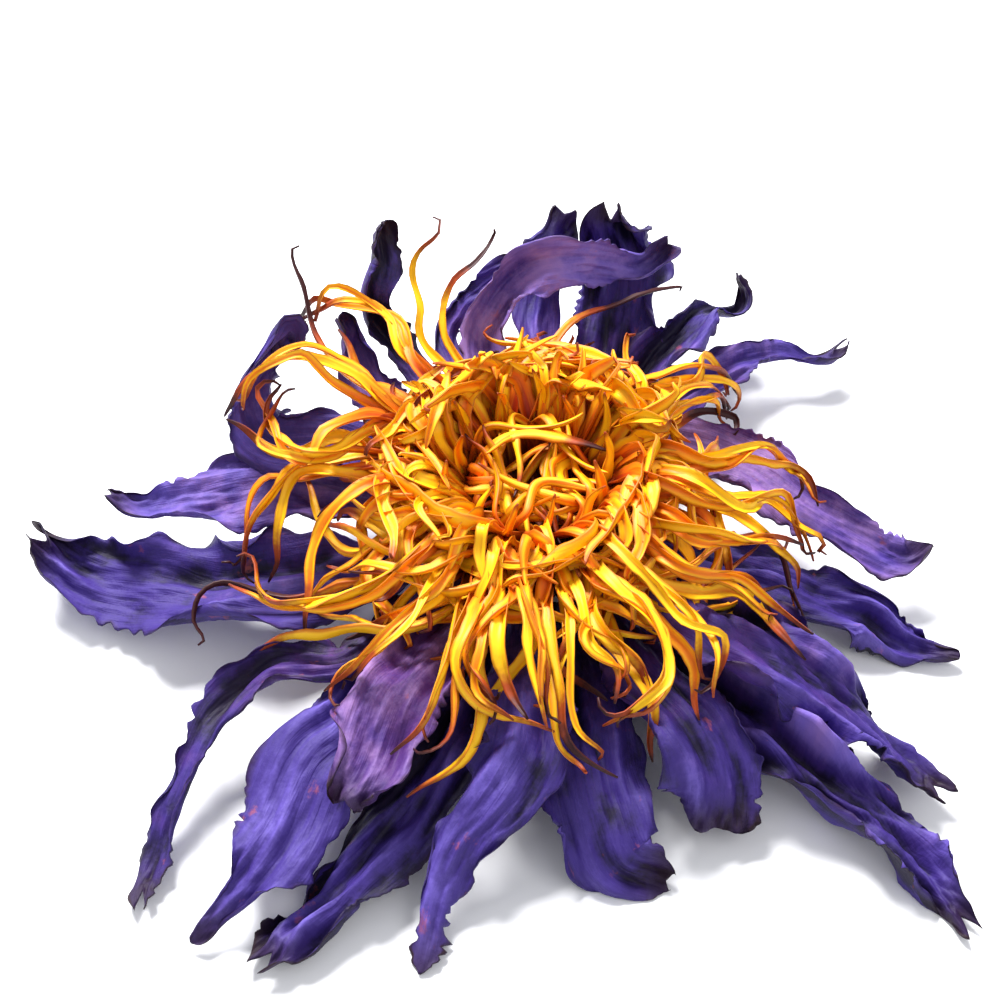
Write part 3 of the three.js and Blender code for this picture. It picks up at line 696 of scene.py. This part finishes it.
# ---------------------------------------------------------------------------------------------
# The rest of the stamens: over two hundred more of the same ribbons, packed between the ones above
# in rings one inside the other. The outermost arch out low and droop, the next stand up into the
# crest of the wreath, broad short ones fill it, and the innermost lean across the hollow heart.
LOOSE_STAMENS = [
    [[-14, 12, 13], [-18, 13, 15], [-19.5, 14.5, 17], [-20.5, 17, 19]],
    [[-19, 5.5, 14], [-24, 4.5, 14], [-28, 5, 14], [-32, 7.5, 15]],
    [[-18.5, 0, 15], [-24, 0, 15], [-25.5, -4, 12], [-26, -6.5, 9], [-27.5, -7.5, 7]],
    [[-13.5, -2.5, 17], [-19, -5, 17], [-21.5, -9, 14], [-22.5, -13, 11], [-23, -15.5, 8]],
    [[-10, -17.5, 13], [-19, -17.5, 12], [-24.5, -17, 10], [-28, -17, 8]],
    [[-5.5, -20.5, 15], [-5.5, -25.5, 13], [-6.5, -30, 10], [-12, -33.5, 7]],
    [[-6, -20, 17], [-7.5, -24.5, 16], [-5.5, -27, 14], [-1.5, -28, 13], [1.5, -29.5, 12]],
    [[-3.5, -20, 17], [-2.5, -25, 16], [-0.5, -29, 14]],
    [[6, -19, 16], [9.5, -22.5, 14], [11.5, -26, 12]],
    [[10, -16.5, 15], [13.5, -20, 14], [15.5, -22.5, 12], [15.5, -26.5, 10]],
    [[8, -19.5, 13], [10.5, -24.5, 12], [11, -30, 8]],
    [[8, -14.5, 16], [16, -14, 14], [20.5, -13.5, 12], [26.5, -19.5, 10]],
    [[12.5, -4, 16], [19, -4, 15], [25, -8, 12], [27, -10, 9]],
]
SHRIVELLED_STAMENS = [
    [[-17, -9, 9], [-23.5, -10.5, 8], [-30, -9, 8], [-33.5, -10, 8], [-34.5, -12.5, 7], [-33, -14, 6]],
    [[17, -6, 12], [24, -5, 10], [26.5, -10, 8], [28, -13.5, 6]],
    [[12, 5.5, 14], [18, 11, 12], [22, 12, 11], [22, 10, 10], [20.5, 11.5, 9]],
]


def springing(rng, degrees, foot, knee, crest, tip, swing, wobble):
    """A route up from the shoulder, over a crest and out to a swung tip, each step a (radius, height).
    At the back of the flower the tips are held in and up; in front they hang out over the petals."""

    def sway(amount):
        return rng.uniform(-amount, amount)

    turn = sway(swing)
    held = 0.5 + 0.5 * math.sin(math.radians(degrees))
    reach = tip[0] * (1.06 - 0.30 * held)
    drop = tip[1] + 5.5 * held - 1
    middle = (crest[0] + reach) / 2
    return [
        around(degrees, *foot),
        around(degrees + sway(3), *knee),
        around(degrees + turn * 0.25, crest[0] + sway(wobble), crest[1] + sway(wobble)),
        around(degrees + turn * 0.5, middle + sway(wobble),
               (crest[1] * 1.25 + drop) / 2.2 + sway(wobble)),
        around(degrees + turn * 1.2, reach + sway(2 * wobble), drop + sway(1.5 * wobble)),
    ]


RINGS = {
    "low": dict(
        count=44, foot=(6.3, 6.8), knee=(9, 9.5), crest=(15, 13.5), tip=(24.5, 9), swing=46,
        wobble=1.1, width=(0.8, 1.3), brown=(0.78, 0.96)),
    "mid": dict(
        count=70, foot=(6.1, 8.0), knee=(8, 12), crest=(12.5, 16.5), tip=(20, 13.5), swing=54,
        wobble=1.2, width=(0.9, 1.5), brown=(0.86, 1.0)),
    "crest": dict(
        count=56, foot=(5.6, 9.0), knee=(7.2, 13), crest=(10.5, 17.5), tip=(15, 17), swing=64,
        wobble=1.3, width=(1.0, 1.9), brown=(0.94, 1.1)),
    "broad": dict(
        count=24, foot=(6.0, 8.5), knee=(8.5, 12), crest=(11.5, 15.5), tip=(14, 16), swing=40,
        wobble=1.2, width=(2.0, 3.2), brown=(1.0, 1.2)),
}
for ring, r in RINGS.items():
    rng = random.Random(ring)
    ribbons = []
    for k in range(r["count"]):
        degrees = (k + rng.uniform(-0.3, 0.3)) * 360 / r["count"]
        route = springing(rng, degrees, r["foot"], r["knee"], r["crest"], r["tip"], r["swing"],
                          r["wobble"])
        if rng.random() < 0.5:
            route = hooked(rng, route)
        width = rng.uniform(*r["width"])
        twist = (rng.uniform(-25, 25), rng.uniform(-100, 100))
        ribbons.append(ribbon(rng, route, width, twist, wide_at=rng.uniform(0.3, 0.7),
                              brown_from=rng.uniform(*r["brown"])))
    stamen_piece("stamens_" + ring, ribbons)

# The innermost ones criss-cross above the disc, from one side of the hollow to another.
CROSSING_COUNT = 34
rng = random.Random("hollow")
ribbons = []
for k in range(CROSSING_COUNT):
    degrees = k * 360 / CROSSING_COUNT + rng.uniform(-8, 8)
    turn = rng.choice((-1, 1)) * rng.uniform(80, 175)
    level = rng.uniform(12.5, 17)
    route = [
        around(degrees, 5.3, 9.4),
        around(degrees, 7.0, 12),
        around(degrees + 0.2 * turn, rng.uniform(5, 7.5), level),
        around(degrees + 0.55 * turn, rng.uniform(1.5, 5), level + rng.uniform(-1.5, 1)),
        around(degrees + turn, rng.uniform(4, 9), level + rng.uniform(-1.5, 2.5)),
    ]
    ribbons.append(ribbon(rng, route, rng.uniform(0.7, 1.3), (0, rng.uniform(-90, 90)),
                          wide_at=rng.uniform(0.3, 0.7), brown_from=rng.uniform(0.8, 1.1)))
stamen_piece("stamens_crossing", ribbons)


def springing_from(route):
    """The route with a foot and a knee added below its first bend."""
    degrees = math.degrees(math.atan2(route[0][1], route[0][0]))
    return [around(degrees, 6.2, 7.4), around(degrees, 8.4, min(11.0, route[0][2])), *route]


rng = random.Random("loose")
stamen_piece("stamens_loose", [
    ribbon(rng, springing_from(route), rng.uniform(1.1, 1.6), (0, rng.uniform(-90, 90)),
           wide_at=rng.uniform(0.35, 0.7), brown_from=rng.uniform(0.84, 0.94))
    for route in LOOSE_STAMENS])
stamen_piece("stamens_shrivelled", [
    ribbon(rng, hooked(rng, springing_from(route), 1.0), 1.0, (0, rng.uniform(-90, 90)), brown_from=0.5)
    for route in SHRIVELLED_STAMENS])

# ---------------------------------------------------------------------------------------------
# A plain pale table top, soft light from behind and to the left, and the camera looking down at
# the open flower from in front.
EYE_HEIGHT_DEG = 50
EYE_DISTANCE = 205  # millimetres, as are the point looked at and the width of field there
LOOK_AT = np.array([-3.4, 2.5, 8.0])
FIELD_WIDTH = 105.5
SENSOR_WIDTH = 36

TABLE_REACH = 20.0  # metres each way, so that its edge lies far behind the flower in a low view
corners = [(x * TABLE_REACH, y * TABLE_REACH, 0) for x, y in ((-1, -1), (1, -1), (1, 1), (-1, 1))]
table_mesh = bpy.data.meshes.new("table_top")
table_mesh.from_pydata(corners, [], [(0, 1, 2, 3)])
table_top = bpy.data.objects.new("table_top", table_mesh)
table_top.location.z = -0.0001  # a hair below the petals that lie flat on it
bpy.context.scene.collection.objects.link(table_top)
pale = Finish("pale_table", {"Base Color": linear(250, 250, 252), "Roughness": 0.9})
table_mesh.materials.append(pale.material)

world = bpy.data.worlds.new("studio")
world.use_nodes = True
sky = world.node_tree.nodes["Background"]
sky.inputs["Color"].default_value = (0.93, 0.95, 1.0, 1.0)
sky.inputs["Strength"].default_value = 0.65
bpy.context.scene.world = world


def soft_lamp(name, place, aim, size, watts):
    """A square lamp of that size in metres, turned to face its aim."""
    lamp = bpy.data.lights.new(name, "AREA")
    lamp.size = size
    lamp.energy = watts
    thing = bpy.data.objects.new(name, lamp)
    thing.location = place
    thing.rotation_euler = (Vector(aim) - Vector(place)).to_track_quat("-Z", "Y").to_euler()
    bpy.context.scene.collection.objects.link(thing)


soft_lamp("window", (-0.16, 0.40, 0.55), (0, 0, 0), 0.22, 11.0)
soft_lamp("fill", (0.4, -0.3, 0.6), (0, 0, 0), 0.5, 1.2)

tilt = math.radians(EYE_HEIGHT_DEG)
eye = LOOK_AT + EYE_DISTANCE * np.array([0, -math.cos(tilt), math.sin(tilt)])
camera_data = bpy.data.cameras.new("camera")
camera_data.sensor_width = SENSOR_WIDTH
camera_data.lens = SENSOR_WIDTH * EYE_DISTANCE / FIELD_WIDTH
camera_data.clip_start = 0.01
camera = bpy.data.objects.new("camera", camera_data)
camera.location = eye * MM + heart
camera.rotation_euler = (math.pi / 2 - tilt, 0, 0)
bpy.context.scene.collection.objects.link(camera)
bpy.context.scene.camera = camera
bpy.context.scene.view_settings.view_transform = "Standard"
